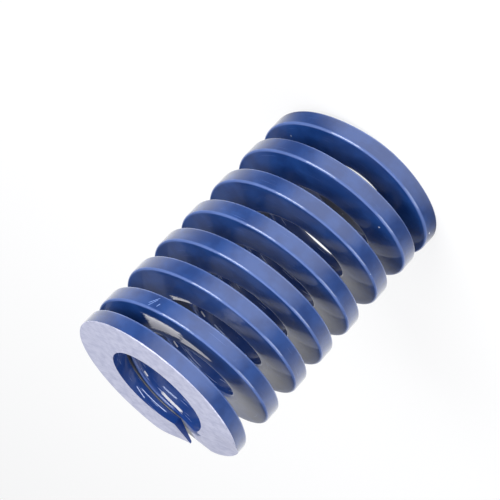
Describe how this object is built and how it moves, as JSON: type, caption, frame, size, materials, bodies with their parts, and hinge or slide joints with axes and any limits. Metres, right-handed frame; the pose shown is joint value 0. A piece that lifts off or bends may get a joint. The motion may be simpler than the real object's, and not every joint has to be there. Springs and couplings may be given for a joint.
{
  "type": "die spring",
  "caption": "Die spring of flat wire, wound right-handed, with both ends closed and ground flat, painted blue. Pushes back when squeezed between two plates.",
  "frame": {"origin": "middle of the bottom ground end face", "axes": "+Z along the coil axis towards the top ground end, +X through the cut tip of the bottom end"},
  "size_m": [0.0248, 0.0248, 0.04],
  "materials": {
    "blue_paint": "glossy blue paint on spring steel, worn thin on the ground end faces"
  },
  "bodies": {
    "root": {"die_spring": "blue_paint"}
  },
  "joints": []
}
